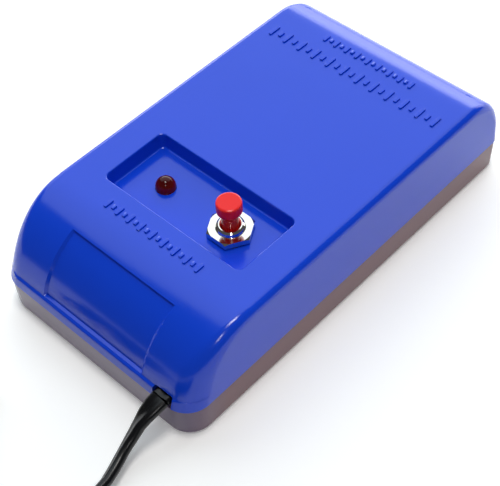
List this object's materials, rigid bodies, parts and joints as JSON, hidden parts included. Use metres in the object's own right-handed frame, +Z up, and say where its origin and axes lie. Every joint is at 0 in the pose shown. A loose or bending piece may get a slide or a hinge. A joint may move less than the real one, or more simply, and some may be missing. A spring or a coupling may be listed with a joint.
{
  "type": "demagnetizer",
  "caption": "Bench demagnetizer for watch tools: sloped two-part plastic case, push button and lamp in a shallow well, open E core with coil, flat twin mains lead with plug",
  "frame": {"origin": "middle of the case's underside, on the bench", "axes": "+X to the operator's right, +Y to the rear, +Z up"},
  "size_m": [0.1003, 0.2046, 0.0333],
  "materials": {
    "blue_plastic": "glossy moulded",
    "dark_plastic": "glossy moulded",
    "black_plastic": "matt moulded",
    "red_plastic": "glossy moulded",
    "lamp_red": "clear tinted",
    "nickel": "bright plated",
    "zinc_steel": "zinc plated",
    "spring_steel": "drawn wire",
    "core_steel": "punched sheet with oxide",
    "brass": "plain",
    "copper_wire": "enamelled copper",
    "nylon": "moulded",
    "tape": "polyester film",
    "cord_black": "flexible sheath",
    "wire_brown": "flexible sheath",
    "wire_blue": "flexible sheath",
    "wire_red": "flexible sheath",
    "resistor_tan": "lacquered with bands"
  },
  "bodies": {
    "case": {"top_case": "blue_plastic", "base": "dark_plastic", "case_screws": "zinc_steel", "switch_body": "black_plastic", "switch_bushing": "nickel", "switch_nut": "nickel", "lock_washer": "nickel", "switch_spring": "spring_steel", "fixed_contacts": "brass", "indicator_lamp": "lamp_red", "lamp_leads": "zinc_steel", "lamp_resistor": "resistor_tan", "lamp_diode": "black_plastic", "coil_bobbin": "nylon", "coil_winding": "copper_wire", "winding_tape": "tape", "core_plates": "core_steel", "core_clamps": "zinc_steel", "core_screws": "zinc_steel", "cord_clamp": "nylon", "clamp_screws": "zinc_steel", "cord_inner": "cord_black", "wire_live": "wire_brown", "wire_switched": "wire_brown", "wire_neutral": "wire_blue", "wire_lamp": "wire_red", "splice_sleeves": "black_plastic", "cord_lead": "cord_black", "cord_coil": "cord_black", "cord_tail": "cord_black", "cord_tie": "black_plastic", "plug_body": "cord_black", "plug_relief": "cord_black", "plug_blades": "brass"},
    "button": {"button_plunger": "red_plastic", "contact_bridge": "brass"}
  },
  "joints": [
    {"name": "button_press", "type": "slide", "parent": "case", "child": "button", "axis": [0, 0, -1], "range_m": [0, 0.0023], "stiffness_N_per_m": 800, "springref_m": -0.0012, "deforming": ["switch_spring"]}
  ]
}
